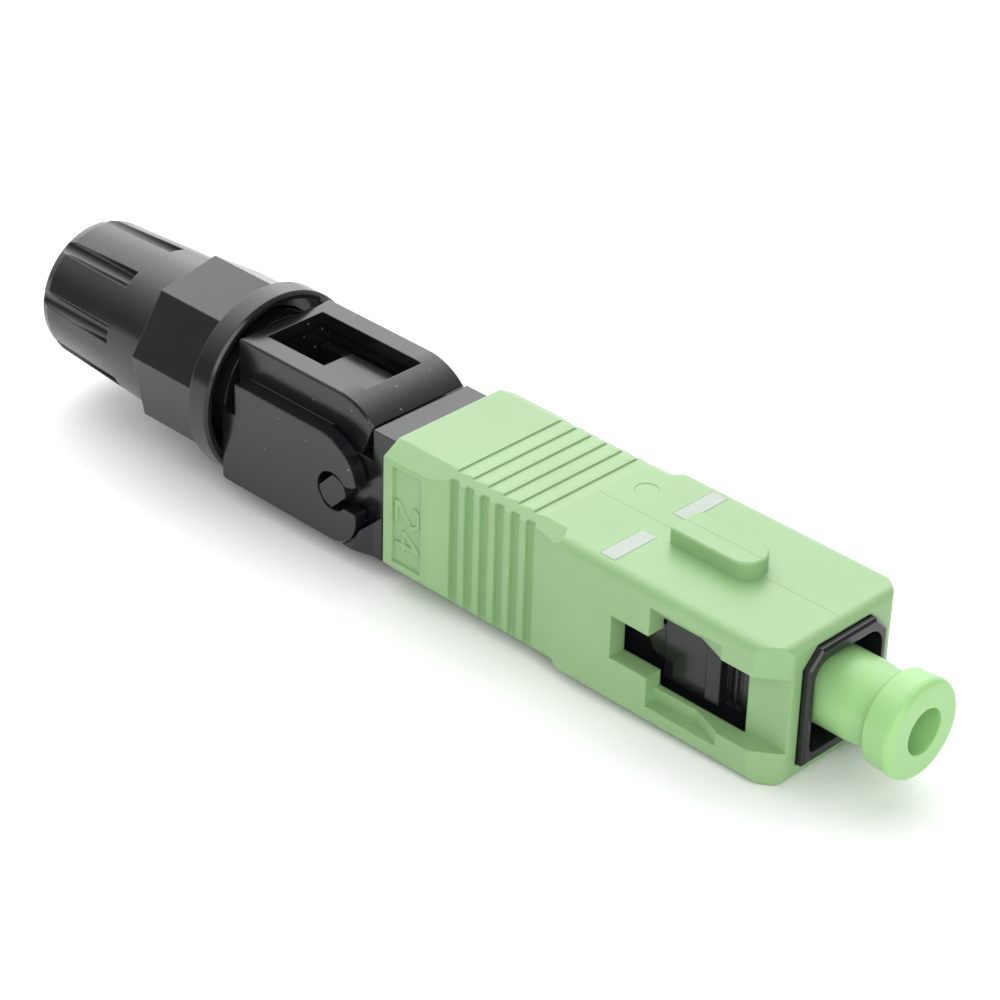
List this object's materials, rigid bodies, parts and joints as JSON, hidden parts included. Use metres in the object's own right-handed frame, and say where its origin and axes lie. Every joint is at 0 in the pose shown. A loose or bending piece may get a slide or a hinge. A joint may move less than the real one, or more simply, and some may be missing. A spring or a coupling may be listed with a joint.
{
  "type": "sc fibre connector",
  "caption": "Push-pull square fibre plug for site fitting: green sleeve with key and latch windows, black hinged cover, faceted tail nut and dust cap.",
  "frame": {"origin": "on the optical axis, at the front face of the black plug frame", "axes": "+X is the mating direction along the optical axis, +Z is the key side, +Y completes the right-handed frame"},
  "size_m": [0.0573, 0.0102, 0.0102],
  "materials": {
    "sleeve_green": "fine satin moulded plastic, pale green",
    "cap_green": "soft translucent plastic, bright pale green",
    "black_plastic": "polished black moulded plastic",
    "white_print": "white printed ink",
    "zirconia": "polished white ceramic",
    "holder_metal": "turned metal",
    "splice_grey": "dull light grey moulded plastic",
    "spring_steel": "drawn wire and bright strip",
    "fibre_glass": "clear silica"
  },
  "bodies": {
    "core": {"plug_frame": "black_plastic", "main_body": "black_plastic", "flip_cover": "black_plastic", "ferrule_spring": "spring_steel"},
    "sleeve": {"grip_housing": "sleeve_green", "position_mark_left": "white_print", "position_mark_right": "white_print"},
    "floating_ferrule": {"ferrule": "zirconia", "ferrule_holder": "holder_metal", "fibre_stub": "fibre_glass", "splice_base": "splice_grey", "splice_lid": "splice_grey", "splice_clip": "spring_steel"},
    "cap": {"dust_cap": "cap_green"},
    "nut": {"tail_nut": "black_plastic"}
  },
  "joints": [
    {"name": "sleeve_slide", "type": "slide", "parent": "core", "child": "sleeve", "axis": [1, 0, 0], "range_m": [-0.0008, 0.0012]},
    {"name": "ferrule_float", "type": "slide", "parent": "core", "child": "floating_ferrule", "axis": [1, 0, 0], "range_m": [-0.0008, 0], "stiffness_N_per_m": 1200, "deforming": ["ferrule_spring"]},
    {"name": "cap_pull", "type": "slide", "parent": "floating_ferrule", "child": "cap", "axis": [1, 0, 0], "range_m": [0, 0.012]},
    {"name": "nut_withdraw", "type": "slide", "parent": "core", "child": "nut", "axis": [-1, 0, 0], "range_m": [0, 0.012]}
  ]
}
